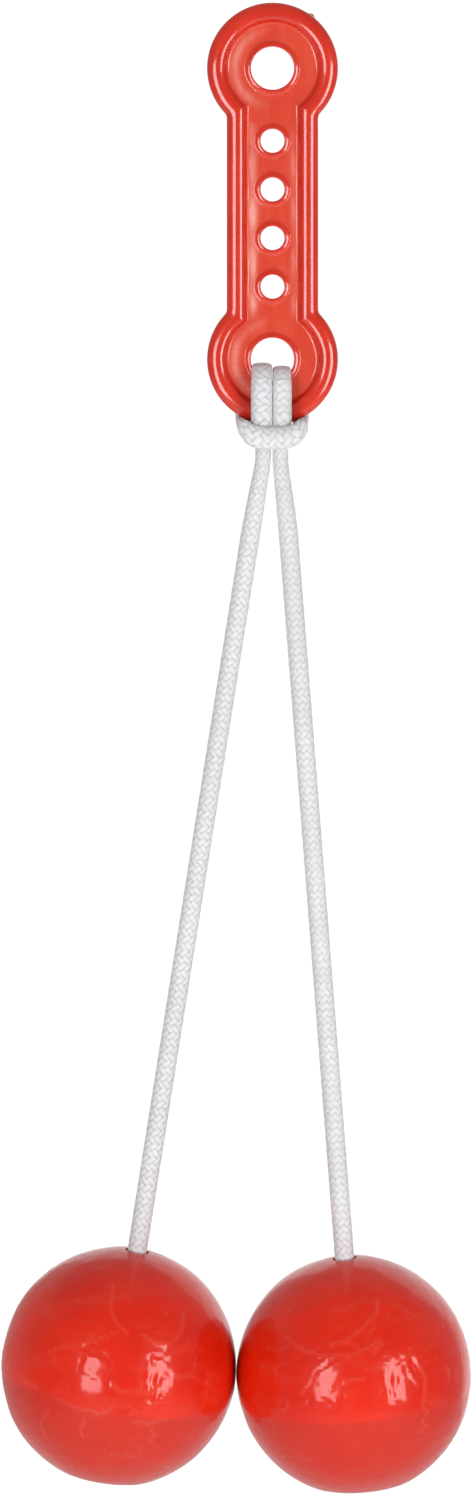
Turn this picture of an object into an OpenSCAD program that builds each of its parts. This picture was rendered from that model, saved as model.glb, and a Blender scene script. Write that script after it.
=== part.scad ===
// Clackers toy: two balls on one cord that is hitched round the eye of a flat handle.
// The origin is the centre of the handle's upper eye, which the toy hangs from. +Z is up.
// The handle lies in the XZ plane, and its front faces -Y.

/* [Handle] */
// Outer diameter of each eye
eye_d = 22.5; // [18:0.5:28]
// Distance between the centres of the two eyes
eye_spacing = 50; // [42:1:62]
// Width of the shaft between the eyes
shaft_w = 15.7; // [13:0.1:17]
// Radius of the fillet where the shaft meets an eye
junction_r = 1.5; // [0.5:0.1:2.5]
// Thickness of the outer edge
edge_t = 2.6; // [2:0.1:3.4]
// Thickness over the raised rib
rib_t = 4.4; // [3.8:0.1:5.4]
// Thickness of the recessed web inside the rib
web_t = 2; // [1.6:0.1:2.6]
// Distance from the outer edge in to the rib
rib_inset = 0.9; // [0.6:0.1:1.2]
// Distance from the outer edge in to the top of the cove
cove_top_inset = 2.5; // [2.2:0.1:2.8]
// Distance from the outer edge in to the foot of the cove
cove_foot_inset = 3.8; // [3.2:0.1:4.2]

/* [Holes] */
// Diameter of the hole in each eye
eye_hole_d = 7.4; // [6.2:0.1:9]
// Diameter of each small hole along the shaft
small_hole_d = 4.1; // [3.2:0.1:4.6]
// Distance between neighbouring small holes
small_hole_pitch = 8.35; // [7.4:0.05:9]
// Number of small holes
small_hole_count = 4; // [2:1:4]
// Width of the raised lip round each hole
lip_w = 0.85; // [0.5:0.05:1.1]
// Thickness over the lips
lip_t = 2.8; // [2.6:0.1:3.4]

/* [Cord] */
// Diameter of the cord
cord_d = 3.4; // [2.8:0.1:4.1]
// Free length from the pivot under the hitch to the mouth of a ball
leg_l = 137.8; // [110:0.1:170]
// Length of the short neck under the hitch that bends to the front and back
neck_l = 10; // [8:0.5:14]
// Angle that both legs lean to the left as they hang
lean = 2.28; // [0:0.01:4]

/* [Balls] */
// Diameter of each ball
ball_d = 40; // [33:0.5:50]
// Diameter of the flat base
base_d = 15.6; // [14:0.1:19]
// Depth of the recess in the base that holds the end knot
recess_depth = 9; // [8.6:0.1:11]

/* [Fits] */
// Gap between the two balls as they hang
ball_gap = 0.4; // [0.2:0.1:1]
// Gap between the cord and the wall of a ball's bore
bore_gap = 0.3; // [0.2:0.05:0.6]
// Gap between the end knot and the wall of its recess
knot_gap = 0.9; // [0.5:0.1:1.2]
// Gap between solids that move against each other
free_gap = 0.35; // [0.3:0.05:0.5]
// Gap between the hitch and the eye that it is tied round
hitch_gap = 0.2; // [0.15:0.05:0.3]

/* [Hidden] */
$fn = 96;
TUBE_SIDES = 8;
LEFT = -1;
RIGHT = 1;
SLACK = 1;
cord_r = cord_d / 2;
eye_r = eye_d / 2;
hole_r = eye_hole_d / 2;

// Where the cord bends: a cord's rounded end turns inside this distance of the next piece's face.
turn_room = cord_r + free_gap;

// The hitch is pulled tight, so its strands are thinner than the free cord, and thinnest in the hole.
strand_r = 0.94 * cord_r;
hole_strand_r = 0.4 * hole_r;
strand_x = 1.03 * cord_r;
hole_strand_x = hole_strand_r + 0.15;
face_y = rib_t / 2 + hitch_gap + strand_r;
lip_room = hole_strand_r + hitch_gap;
bar_y = face_y + 1.32 * cord_r;
bar_z = -eye_r - 1.4 * cord_r;
wrap_x = 3 * cord_r;
wrap_r = eye_r + hitch_gap + strand_r;
wrap_z = -sqrt(pow(wrap_r, 2) - pow(wrap_x, 2));
stub_z = bar_z - strand_r;

// A point of a strand that turns over the hole's lip: y_out is how far it is beyond the lip's face, and
// r_in how far it is inside the hole's wall, both as shares of the room that the strand needs.
function over_lip(x, facing, y_out, r_in) =
    let (from_axis = hole_r - r_in * lip_room)
    [x, facing * (lip_t / 2 + y_out * lip_room), -sqrt(pow(from_axis, 2) - pow(x, 2)), hole_strand_r];

// One half of the hitch, measured from the centre of the lower eye: [across, back, up, strand radius].
// It goes up the front of the rim, through the hole, down the back, and under the rim to the bar.
half_hitch = [
    [strand_x, 0, stub_z, strand_r],
    [strand_x, -0.2, stub_z + 0.4 * cord_r, strand_r],
    [strand_x, -0.4 * face_y, -eye_r - 1.2 * cord_r, strand_r],
    [strand_x, -0.8 * face_y, -eye_r - 0.5 * cord_r, strand_r],
    [strand_x, -1.04 * face_y, -eye_r + 0.4 * cord_r, strand_r],
    [strand_x, -1.01 * face_y, -0.6 * eye_r - 0.4 * hole_r, strand_r],
    [strand_x, -0.98 * face_y, -hole_r - 1.4, strand_r],
    over_lip(1.05 * hole_strand_x, -1, 1.25, 0.12),
    over_lip(hole_strand_x, -1, 0.8, 0.8),
    over_lip(hole_strand_x, -1, 0, 1),
    over_lip(hole_strand_x, 1, 0, 1),
    over_lip(hole_strand_x, 1, 0.8, 0.8),
    over_lip(1.2 * hole_strand_x, 1, 1.25, 0.12),
    [0.3 * wrap_x + 1, 0.98 * face_y, -hole_r - 1.4, strand_r],
    [0.65 * wrap_x, 1.01 * face_y, -0.5 * (eye_r + hole_r) - 0.2, strand_r],
    [0.9 * wrap_x, 1.03 * face_y, -0.84 * eye_r, strand_r],
    [wrap_x, 0.85 * face_y, wrap_z + 0.9, strand_r],
    [wrap_x, 0.4 * face_y, wrap_z - 0.1, strand_r],
    [wrap_x, -0.1 * face_y, wrap_z - 0.2, strand_r],
    [wrap_x, -0.6 * face_y, wrap_z - 0.4, strand_r],
    [0.98 * wrap_x, -0.68 * bar_y, 0.4 * bar_z + 0.6 * wrap_z, strand_r],
    [0.76 * wrap_x, -0.95 * bar_y, 0.8 * bar_z + 0.2 * wrap_z, strand_r],
    [0.41 * wrap_x, -bar_y, bar_z, strand_r],
    [0, -bar_y, bar_z, strand_r],
];

// Angle between each leg and the line midway between them, which leaves ball_gap between the balls.
reach = leg_l + ball_d / 2;
strand_pitch = 2 * strand_x;
ball_pitch = ball_d + ball_gap;
spread = sqrt(pow(ball_pitch, 2) - pow(strand_pitch * sin(lean), 2)) - strand_pitch * cos(lean);
half_angle = asin(spread / (2 * reach));
leg_top_z = -eye_spacing + stub_z - turn_room;

// Distances down a leg from its pivot under the hitch.
swing_at = neck_l;
tilt_at = leg_l - turn_room;
seat_at = reach + sqrt(pow(ball_d / 2, 2) - pow(base_d / 2, 2)) - recess_depth;

// The end knot is an overhand knot, which is wider and taller than the cord by these factors.
knot_d = 2.4 * cord_d;
knot_h = 1.9 * cord_d;
knot_end_l = 0.45 * cord_d;
recess_d = knot_d + 2 * knot_gap;
bore_d = cord_d + 2 * bore_gap;

// The handle's outline, moved in from its outer edge by inset. Y here is up on the finished handle.
module outline(inset) {
    for (y = [0, -eye_spacing]) {
        translate([0, y]) circle(r = eye_r - inset);
    }
    translate([inset - shaft_w / 2, -eye_spacing]) square([shaft_w - 2 * inset, eye_spacing]);
}

// The filled corner between an eye and the shaft, with the fillet's circle cut from it.
module junction(inset) {
    radius = junction_r + inset;
    middle_x = shaft_w / 2 + junction_r;
    middle_y = sqrt(pow(eye_r + junction_r, 2) - pow(middle_x, 2));
    share = (eye_r - inset) / (eye_r + junction_r);
    difference() {
        polygon([
            [0, 0],
            [middle_x * share, -middle_y * share],
            [middle_x, -middle_y],
            [middle_x - radius, -middle_y],
            [0, -middle_y],
        ]);
        translate([middle_x, -middle_y]) circle(r = radius);
    }
}

module filleted_outline(inset) {
    outline(inset);
    for (x = [0, 1], y = [0, 1]) {
        translate([0, -y * eye_spacing]) mirror([x, 0]) mirror([0, y]) junction(inset);
    }
}

module plate(inset, thickness) {
    linear_extrude(height = thickness, center = true) filleted_outline(inset);
}

// The pocket over the web on one face, with a sloping cove for its wall.
module pocket() {
    depth = (rib_t - web_t) / 2 + SLACK;
    slope = (cove_foot_inset - cove_top_inset) / ((rib_t - web_t) / 2);
    foot_r = eye_r - cove_foot_inset;
    foot_x = shaft_w / 2 - cove_foot_inset;
    top_out = slope * depth;
    for (y = [0, -eye_spacing]) {
        translate([0, y, web_t / 2]) cylinder(h = depth, r1 = foot_r, r2 = foot_r + top_out);
    }
    translate([0, 0, web_t / 2]) rotate([90, 0, 0]) linear_extrude(height = eye_spacing) polygon([
        [-foot_x, 0],
        [foot_x, 0],
        [foot_x + top_out, depth],
        [-foot_x - top_out, depth],
    ]);
}

// Puts a child at the centre of each small hole.
module at_small_holes() {
    for (i = [0 : small_hole_count - 1]) {
        from_middle = (i - (small_hole_count - 1) / 2) * small_hole_pitch;
        translate([0, from_middle - eye_spacing / 2]) children();
    }
}

module at_eyes() {
    for (y = [0, -eye_spacing]) {
        translate([0, y]) children();
    }
}

module handle() {
    color([0.83, 0.2, 0.13]) rotate([90, 0, 0]) difference() {
        union() {
            difference() {
                union() {
                    plate(0, edge_t);
                    plate(rib_inset, rib_t);
                }
                pocket();
                mirror([0, 0, 1]) pocket();
            }
            at_eyes() cylinder(h = lip_t, r = hole_r + lip_w, center = true);
            at_small_holes() cylinder(h = lip_t, r = small_hole_d / 2 + lip_w, center = true);
        }
        at_eyes() cylinder(h = rib_t + SLACK, r = hole_r, center = true);
        at_small_holes() cylinder(h = rib_t + SLACK, d = small_hole_d, center = true);
    }
}

// A tube that follows route, a list of [x, y, z, radius]. Each ring's direction is carried on from the last.
function place(p) = [p[0], p[1], p[2]];
function unit(v) = v / norm(v);
function heading(route, i) =
    unit(place(route[min(i + 1, len(route) - 1)]) - place(route[max(i - 1, 0)]));
function carried(side, forward) = unit(side - (side * forward) * forward);
function sides_along(route, side, i = 0) =
    i == len(route) ? [] :
    let (now = carried(side, heading(route, i)))
    concat([now], sides_along(route, now, i + 1));
function ring(centre, radius, side, up) = [
    for (k = [0 : TUBE_SIDES - 1])
        let (angle = (k + 0.5) * 360 / TUBE_SIDES)
        centre + radius * (cos(angle) * side + sin(angle) * up)
];

module tube(route) {
    sides = sides_along(route, [1, 0, 0]);
    last = len(route) - 1;
    points = [
        for (i = [0 : last])
            each ring(place(route[i]), route[i][3], sides[i], cross(heading(route, i), sides[i]))
    ];
    walls = [
        for (i = [0 : last - 1], k = [0 : TUBE_SIDES - 1])
            let (a = i * TUBE_SIDES + k, b = i * TUBE_SIDES + (k + 1) % TUBE_SIDES)
            [a, a + TUBE_SIDES, b + TUBE_SIDES, b]
    ];
    start = [for (k = [0 : TUBE_SIDES - 1]) k];
    end = [for (k = [TUBE_SIDES - 1 : -1 : 0]) last * TUBE_SIDES + k];
    polyhedron(points, concat(walls, [start], [end]));
}

// A straight stretch that hangs down from the origin, with a round end that turns about the origin.
module stretch(length) {
    round_end = [for (a = [70, 45, 20]) [0, 0, cord_r * sin(a), cord_r * cos(a)]];
    tube(concat(round_end, [[0, 0, 0, cord_r], [0, 0, -length, cord_r]]));
}

module white() {
    color([0.93, 0.93, 0.95]) children();
}

// Puts a child on a leg, the given distance below the leg's pivot, with the leg running down -Z.
module on_leg(side, distance) {
    translate([side * strand_x, 0, leg_top_z])
        rotate([0, lean - side * half_angle, 0])
        translate([0, 0, -distance])
        children();
}

module cord_hitch() {
    last = len(half_hitch) - 1;
    other_half = [for (i = [last - 1 : -1 : 0]) let (p = half_hitch[i]) [-p[0], p[1], p[2], p[3]]];
    white() translate([0, 0, -eye_spacing]) tube(concat(half_hitch, other_half));
}

module neck(side) {
    white() on_leg(side, 0) stretch(swing_at - turn_room);
}

module leg(side) {
    white() on_leg(side, swing_at) stretch(tilt_at - swing_at - turn_room);
}

module tail(side) {
    white() on_leg(side, tilt_at) stretch(seat_at + free_gap - tilt_at);
}

// The end knot and the short end of cord below it. Its flat top meets the foot of the tail.
module knot(side) {
    flat_r = cord_r;
    white() on_leg(side, seat_at + free_gap) {
        rotate_extrude() polygon([
            [0, 0],
            [flat_r, 0],
            [0.44 * knot_d, -0.2 * knot_h],
            [knot_d / 2, -knot_h / 2],
            [0.44 * knot_d, -0.8 * knot_h],
            [flat_r, -knot_h],
            [flat_r, -knot_h - knot_end_l],
            [0, -knot_h - knot_end_l],
        ]);
    }
}

// A ball with its centre at the origin, a bore down -Z, and a recess in its flat base.
module bored_ball() {
    base_z = -sqrt(pow(ball_d / 2, 2) - pow(base_d / 2, 2));
    difference() {
        sphere(d = ball_d);
        translate([0, 0, base_z - ball_d / 2]) cylinder(h = ball_d / 2, r = ball_d);
        cylinder(h = ball_d + SLACK, d = bore_d, center = true);
        translate([0, 0, base_z - SLACK]) cylinder(h = recess_depth + SLACK, d = recess_d);
    }
}

module ball(side) {
    color([0.82, 0.16, 0.12]) on_leg(side, reach) bored_ball();
}

handle();
cord_hitch();
neck(LEFT);  // left_neck
neck(RIGHT);  // right_neck
leg(LEFT);  // left_leg
leg(RIGHT);  // right_leg
tail(LEFT);  // left_tail
tail(RIGHT);  // right_tail
knot(LEFT);  // left_knot
knot(RIGHT);  // right_knot
ball(LEFT);  // left_ball
ball(RIGHT);  // right_ball
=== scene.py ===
# %% [markdown]
# # A clackers toy
# Two red balls hang on one white cord, and the cord is hitched round the eye of a flat red handle.
# The solid model that the physics uses is loaded first and never moved. Every visible piece is then
# built round it as a surface worked out with numpy, because arrays make smooth, exact shapes quickly.
# Lengths are in millimetres until a mesh is made, and then they turn into metres.

# %% Load the solid model
import math
import bmesh
import bpy
import numpy as np
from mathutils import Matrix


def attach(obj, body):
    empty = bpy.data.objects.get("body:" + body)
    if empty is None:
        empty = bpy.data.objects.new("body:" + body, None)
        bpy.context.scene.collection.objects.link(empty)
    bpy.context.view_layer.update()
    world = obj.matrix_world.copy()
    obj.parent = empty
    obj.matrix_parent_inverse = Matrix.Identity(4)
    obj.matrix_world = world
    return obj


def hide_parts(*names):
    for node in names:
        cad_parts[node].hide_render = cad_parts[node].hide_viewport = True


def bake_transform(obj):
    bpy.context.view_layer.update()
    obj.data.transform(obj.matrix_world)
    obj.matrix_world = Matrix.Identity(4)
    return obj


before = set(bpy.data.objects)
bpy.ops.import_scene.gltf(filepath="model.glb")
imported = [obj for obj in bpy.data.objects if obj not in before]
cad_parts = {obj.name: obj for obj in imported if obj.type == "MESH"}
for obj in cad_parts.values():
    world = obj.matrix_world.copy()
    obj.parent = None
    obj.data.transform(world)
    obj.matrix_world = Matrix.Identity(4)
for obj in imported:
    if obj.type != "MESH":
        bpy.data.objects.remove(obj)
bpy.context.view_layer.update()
MM = 0.001
LEFT = -1
RIGHT = 1
SIDE_NAMES = {LEFT: "left", RIGHT: "right"}

# %% [markdown]
# ## Camera
# The toy hangs flat in front of the camera, which looks level from the height of the handle, so that its
# holes are seen straight through and the balls a little from above. A sideways or downward turn would
# make the toy taper, so the lens is shifted down instead. The sensor's long side is the picture's height.

# %% Place the camera
CAMERA_PLACE = (-0.0061, -0.74, -0.0527)
LENS = 103.26
LENS_SHIFT = -0.25
camera = bpy.data.objects.new("camera", bpy.data.cameras.new("camera"))
camera.data.lens = LENS
camera.data.shift_y = LENS_SHIFT
camera.location = CAMERA_PLACE
camera.rotation_euler = (math.pi / 2, 0, 0)
bpy.context.scene.collection.objects.link(camera)
bpy.context.scene.camera = camera
print("camera at", CAMERA_PLACE, "with a lens of", LENS, "mm")


# %% [markdown]
# ## Meshes from grids
# Every surface here is a grid of points with rows and columns. A grid may close on itself across its
# rows, its columns or both, as a tube or a ring does. One helper lists the faces between the points, one
# welds grids that share an edge, and one hands the arrays to Blender.

# %% Helpers that turn grids of points into a mesh
def grid_faces(rows, columns, rows_close=False, columns_close=False, first=0):
    """Faces of a grid: each joins (r, c), (r, c+1), (r+1, c+1) and (r+1, c), wrapping where it closes."""
    r, c = np.meshgrid(
        np.arange(rows if rows_close else rows - 1),
        np.arange(columns if columns_close else columns - 1),
        indexing="ij",
    )
    r_next = (r + 1) % rows
    c_next = (c + 1) % columns
    corners = [r * columns + c, r * columns + c_next, r_next * columns + c_next, r_next * columns + c]
    return first + np.stack(corners, axis=-1).reshape(-1, 4)


def weld(grids):
    """Joins (points, faces) grids into one, where points in the same place to 0.0001 mm become one point."""
    starts = np.cumsum([0] + [len(points) for points, _ in grids])
    points = np.vstack([points for points, _ in grids])
    faces = np.vstack([f + start for (_, f), start in zip(grids, starts)])
    _, first, same = np.unique(np.round(points, 4), axis=0, return_index=True, return_inverse=True)
    return points[first], same.reshape(-1)[faces], first


def make_piece(name, points, faces, finish, caps=(), normals_checked=False):
    """A mesh object at the origin, from points in millimetres, four-cornered faces and flat end caps."""
    mesh = bpy.data.meshes.new(name)
    mesh.from_pydata((points * MM).tolist(), [], faces.tolist() + [list(cap) for cap in caps])
    smooth = np.ones(len(mesh.polygons), bool)
    smooth[len(faces):] = False
    mesh.polygons.foreach_set("use_smooth", smooth)
    if normals_checked:
        work = bmesh.new()
        work.from_mesh(mesh)
        bmesh.ops.recalc_face_normals(work, faces=work.faces)
        work.to_mesh(mesh)
        work.free()
    mesh.materials.append(finish)
    piece = bpy.data.objects.new(name, mesh)
    bpy.context.scene.collection.objects.link(piece)
    mesh.calc_loop_triangles()
    size = np.ptp(points, axis=0)
    print(f"{name}: {len(mesh.loop_triangles)} triangles, {size[0]:.1f} x {size[1]:.1f} x {size[2]:.1f} mm")
    return piece


def paint(piece, name, values):
    """Stores one number for each point of a piece, which its finish reads by name."""
    attribute = piece.data.attributes.new(name, "FLOAT", "POINT")
    attribute.data.foreach_set("value", np.asarray(values, np.float32).ravel())


# %% [markdown]
# ## Finishes
# A finish is a Principled shader whose colour, roughness and bump come from node patterns. The sums that
# mix those patterns read best as plain Python, so a small class wraps a node's output and adds a Math
# node for each operator. One method adds any other node.

# %% The class for sums, and the class for finishes
class Amount:
    """A number that a node gives. Its sums add Math nodes."""

    def __init__(self, finish, socket):
        self.finish = finish
        self.socket = socket

    def sum(self, operation, first, second):
        node = self.finish.node("ShaderNodeMath", {"operation": operation}, {0: first, 1: second})
        return Amount(self.finish, node.outputs[0])

    def __add__(self, other):
        return self.sum("ADD", self, other)

    def __radd__(self, other):
        return self.sum("ADD", other, self)

    def __sub__(self, other):
        return self.sum("SUBTRACT", self, other)

    def __rsub__(self, other):
        return self.sum("SUBTRACT", other, self)

    def __mul__(self, other):
        return self.sum("MULTIPLY", self, other)

    def __rmul__(self, other):
        return self.sum("MULTIPLY", other, self)


class Finish:
    """A material with one Principled shader, and the methods that add its nodes."""

    def __init__(self, name, uniform):
        self.material = bpy.data.materials.new(name)
        self.material.use_nodes = True
        self.tree = self.material.node_tree
        self.shader = self.tree.nodes["Principled BSDF"]
        for socket, value in uniform.items():
            self.shader.inputs[socket].default_value = value

    def node(self, kind, settings=None, values=None):
        """Adds a node, sets its settings first, and then gives its sockets their values or links."""
        node = self.tree.nodes.new(kind)
        for setting, value in (settings or {}).items():
            setattr(node, setting, value)
        for socket, value in (values or {}).items():
            self.give(node.inputs[socket], value)
        return node

    def give(self, socket, value):
        """Links a socket to an amount or to another node's socket, or sets its value."""
        if isinstance(value, Amount):
            self.tree.links.new(value.socket, socket)
        elif isinstance(value, bpy.types.NodeSocket):
            self.tree.links.new(value, socket)
        else:
            socket.default_value = value

    def painted(self, name):
        """The numbers that paint() stored on the piece."""
        node = self.node("ShaderNodeAttribute", {"attribute_name": name})
        return Amount(self, node.outputs["Fac"])

    def noise(self, size, detail, stretch=(1, 1, 1)):
        """A soft pattern from 0 to 1 whose patches are about size millimetres across."""
        place = self.node("ShaderNodeTexCoord").outputs["Object"]
        mapping = self.node("ShaderNodeMapping", None, {"Vector": place, "Scale": stretch})
        values = {"Vector": mapping.outputs[0], "Scale": 1 / (size * MM), "Detail": detail}
        return Amount(self, self.node("ShaderNodeTexNoise", None, values).outputs["Fac"])

    def between(self, amount, low, high, to_low=0.0, to_high=1.0):
        """Amount carried smoothly from the range low..high to the range to_low..to_high."""
        settings = {"interpolation_type": "SMOOTHSTEP"}
        values = {"Value": amount, "From Min": low, "From Max": high, "To Min": to_low, "To Max": to_high}
        return Amount(self, self.node("ShaderNodeMapRange", settings, values).outputs["Result"])

    def thin_lines(self, size, width, stretch):
        """Thin winding lines: 1 where a soft pattern is near its middle value, and 0 away from it."""
        off = self.noise(size, 2, stretch=stretch) - 0.5
        return 1 - self.between(off * off, 0, width * width)

    def mix(self, amount, first, second):
        """A colour: the first where amount is 0, the second where it is 1."""
        settings = {"data_type": "RGBA", "clamp_factor": True}
        node = self.node("ShaderNodeMix", settings)
        self.give(node.inputs[0], amount)
        for socket, colour in ((node.inputs[6], first), (node.inputs[7], second)):
            self.give(socket, colour if isinstance(colour, bpy.types.NodeSocket) else (*colour, 1))
        return node.outputs[2]

    def bump(self, height, depth, strength=1.0):
        """A normal from a height of 0 to 1, where 1 stands depth millimetres proud."""
        values = {"Height": height, "Distance": depth * MM, "Strength": strength}
        return self.node("ShaderNodeBump", None, values).outputs["Normal"]

    def show(self, colour, roughness, normal):
        """Links the three things that vary to the shader."""
        self.give(self.shader.inputs["Base Color"], colour)
        self.give(self.shader.inputs["Roughness"], roughness)
        self.give(self.shader.inputs["Normal"], normal)
        return self.material


print("sums add Math nodes, and finishes add the rest")

# %% [markdown]
# ## Finish of the cord
# The cord is a white braid of soft, slightly hairy yarn. Its crowns are a cool white, and its gaps carry
# painted shade, a grey. The yarns themselves are shaped in the mesh, so the finish adds only what is finer:
# the fibres that run along each yarn, and patches that are a little cleaner or duller.

# %% White braided cord
YARNS = 8
YARN_PITCH = 1.2
FIBRES = 6


def cord_finish():
    """White yarn: painted shade in the gaps by the painted crown height, fibres from the cord's own UV map.
    """
    finish = Finish("white_braid", {"Sheen Weight": 0.25, "Sheen Roughness": 0.5, "Specular IOR Level": 0.25})
    uv = finish.node("ShaderNodeUVMap", {"uv_map": "cord"}).outputs[0]
    apart = finish.node("ShaderNodeSeparateXYZ", None, {0: uv})
    around = Amount(finish, apart.outputs[0])
    along = Amount(finish, apart.outputs[1])
    right_hand = finish.painted("right_hand")
    crown = finish.painted("crown")
    across_right = around * YARNS + along
    across_left = around * YARNS - along
    across = across_left + right_hand * (across_right - across_left)
    fibres = across.sum("SINE", across * (2 * math.pi * FIBRES), 0.0)
    patches = finish.noise(9, 2)
    speckle = finish.noise(0.45, 2)
    # Painted shade: the gaps between the yarns' crowns are greyed, where the braid falls into shade.
    gap = finish.between(crown, 0.15, 0.75, 1.0, 0.0)
    clean = finish.mix(finish.between(patches, 0.35, 0.7), (0.765, 0.765, 0.78), (0.815, 0.815, 0.825))
    speckled = finish.mix(finish.between(speckle, 0.5, 0.75) * 0.35, clean, (0.56, 0.56, 0.60))
    colour = finish.mix(gap * 0.55, speckled, (0.42, 0.42, 0.47))
    height = fibres * 0.35 + speckle * 0.65
    return finish.show(colour, finish.between(patches, 0.3, 0.7, 0.72, 0.85), finish.bump(height, 0.05, 0.7))


white_braid = cord_finish()
print("finish made:", white_braid.name)

# %% [markdown]
# ## The cord's route
# On the real toy one cord does everything. Its middle is laid against the rim of the lower eye as a cow
# hitch, and its two ends go down through the balls to a stopper knot each. A cord could be a curve with
# a bevel, but then its braid could not run on through the hitch, so one long route is worked out here,
# from the left knot to the right one, and every visible stretch is cut from it.

# %% Points that the cord passes through
EYE_DROP = 50.0
PIVOT_ACROSS = 1.751
PIVOT_HEIGHT = -67.278
LEG_ANGLE = {LEFT: math.radians(8.994486), RIGHT: math.radians(-4.434486)}
BALL_CENTRE_AT = 157.8
KNOT_CENTRE_AT = 171.65
KNOT_SIZE = 0.86
KNOT_RADIUS = 1.2

# One half of the hitch, measured from the centre of the lower eye: across, back, up and radius.
HALF_HITCH = np.array([
    (1.75, 0, -15.23, 1.62), (1.75, -0.2, -14.55, 1.62), (1.75, -1.6, -13.29, 1.64),
    (1.75, -3.2, -12.1, 1.66), (1.75, -4.16, -10.57, 1.68), (1.75, -4.04, -8.23, 1.68),
    (1.75, -3.92, -5.1, 1.68), (1.71, -3.5, -3.05, 1.6), (1.63, -2.74, -1.7, 1.54),
    (1.63, -1.4, -1.19, 1.52), (1.63, 1.4, -1.19, 1.52), (1.63, 2.74, -1.7, 1.52),
    (1.96, 3.5, -2.9, 1.54), (2.53, 3.92, -5.1, 1.62), (3.32, 4.04, -7.68, 1.62),
    (4.59, 4.12, -9.45, 1.62), (5.1, 3.4, -11.11, 1.62), (5.1, 1.6, -12.11, 1.62),
    (5.1, -0.4, -12.21, 1.64), (5.1, -2.4, -12.41, 1.64), (5.0, -4.24, -12.66, 1.66),
    (3.88, -5.93, -13.31, 1.66), (2.09, -6.24, -13.6, 1.66), (0, -6.24, -13.6, 1.66),
])

# An overhand knot pulled tight, measured from its middle: across, back and down.
KNOT = np.array([
    (0, 0, -5), (-0.1, 0.1, -3.5), (-0.3, 0.2, -2.1), (-1.1, -0.2, -0.9), (-1.5, -1.3, 0), (-1, -2.2, 1.1),
    (0, -2.7, 2), (1.3, -2.4, 2.7), (2.4, -1.5, 3.1), (3, -0.1, 3), (3, 1.3, 2.5), (2.4, 2.3, 1.7),
    (1.3, 2.8, 0.8), (0, 2.8, 0), (-1.3, 2.8, -0.8), (-2.4, 2.3, -1.7), (-3, 1.3, -2.5), (-3, -0.1, -3),
    (-2.4, -1.5, -3.1), (-1.3, -2.4, -2.7), (0, -2.7, -2), (1, -2.2, -1.1), (1.5, -1.3, 0), (1.1, -0.2, 0.9),
    (0.3, 0.2, 2.1), (0.1, 0.1, 3.5), (0, 0, 5),
]) * KNOT_SIZE


def leg_axes(side):
    """The axes of a leg: across it, to the back, and down along it."""
    a = LEG_ANGLE[side]
    return np.array([(math.cos(a), 0, -math.sin(a)), (0, 1, 0), (-math.sin(a), 0, -math.cos(a))])


def on_leg(side, across, back, down):
    """Points beside a leg: across, back and down from its pivot under the hitch, along its own axes."""
    pivot = np.array([side * PIVOT_ACROSS, 0, PIVOT_HEIGHT])
    local = np.stack(np.broadcast_arrays(across, back, down), axis=-1).astype(float)
    return pivot + local @ leg_axes(side)


def leg_points(side):
    """One leg from its pivot to the end of its knot, as across, back, up and radius."""
    straight = np.append(np.arange(0, 164, 4.0), 165.5)
    run = on_leg(side, 0, 0, straight)
    knot = on_leg(side, KNOT[:, 0], KNOT[:, 1], KNOT_CENTRE_AT + KNOT[:, 2])
    radius = np.interp(straight, [0, 9, 160, 166], [1.62, 1.7, 1.7, 1.3])
    knot_radius = np.full(len(knot), KNOT_RADIUS)
    return np.vstack([np.column_stack([run, radius]), np.column_stack([knot, knot_radius])])


def hitch_points():
    """The hitch from the left leg's pivot to the right one's: half of it mirrored, then the other half."""
    half = HALF_HITCH + [0, 0, -EYE_DROP, 0]
    return np.vstack([half * [-1, 1, 1, 1], half[-2::-1]])


cord_points = np.vstack([leg_points(LEFT)[::-1], hitch_points(), leg_points(RIGHT)])
print("the cord passes through", len(cord_points), "points")


# %% [markdown]
# ## From points to one smooth route
# A curve through the points gives the route, and a soft average takes the last kinks out. At each step
# the route also needs a direction across it. That direction is carried from step to step with no twist,
# so that the braid never jumps.

# %% Smooth the route and carry a direction along it
STEP = 0.2


def lengths_along(points):
    """The distance to each point along the line through them."""
    return np.append(0, np.cumsum(np.linalg.norm(np.diff(points[:, :3], axis=0), axis=1)))


def through(points, step):
    """A cubic through points. A tangent is the slope of the parabola through a point and its neighbours."""
    t = lengths_along(points)
    gap = np.diff(t)[:, None]
    slope = np.diff(points, axis=0) / gap
    inner = (slope[:-1] * gap[1:] + slope[1:] * gap[:-1]) / (gap[:-1] + gap[1:])
    tangent = np.vstack([slope[:1], inner, slope[-1:]])
    at = np.linspace(0, t[-1], int(t[-1] / step) + 1)
    i = np.clip(np.searchsorted(t, at, side="right") - 1, 0, len(gap) - 1)
    h = gap[i]
    u = (at - t[i])[:, None] / h
    return (
        (2 * u**3 - 3 * u**2 + 1) * points[i]
        + (u**3 - 2 * u**2 + u) * h * tangent[i]
        + (3 * u**2 - 2 * u**3) * points[i + 1]
        + (u**3 - u**2) * h * tangent[i + 1]
    )


def averaged(points, steps):
    """Points averaged with their neighbours by a bell curve of that many steps. The ends stay put."""
    reach = int(3 * steps)
    bell = np.exp(-0.5 * (np.arange(-reach, reach + 1) / steps) ** 2)
    bell /= bell.sum()
    before = 2 * points[0] - points[reach:0:-1]
    after = 2 * points[-1] - points[-2:-reach - 2:-1]
    padded = np.vstack([before, points, after])
    return np.column_stack([np.convolve(column, bell, "valid") for column in padded.T])


def carried_frames(centres):
    """Two directions across the route at each point, each carried from the last with no twist."""
    forward = np.gradient(centres, axis=0)
    forward /= np.linalg.norm(forward, axis=1, keepdims=True)
    across = np.empty_like(centres)
    now = np.array([0.0, 1.0, 0.0])
    for i, direction in enumerate(forward):
        now = now - direction * (now @ direction)
        now = now / np.linalg.norm(now)
        across[i] = now
    return across, np.cross(forward, across)


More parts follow.
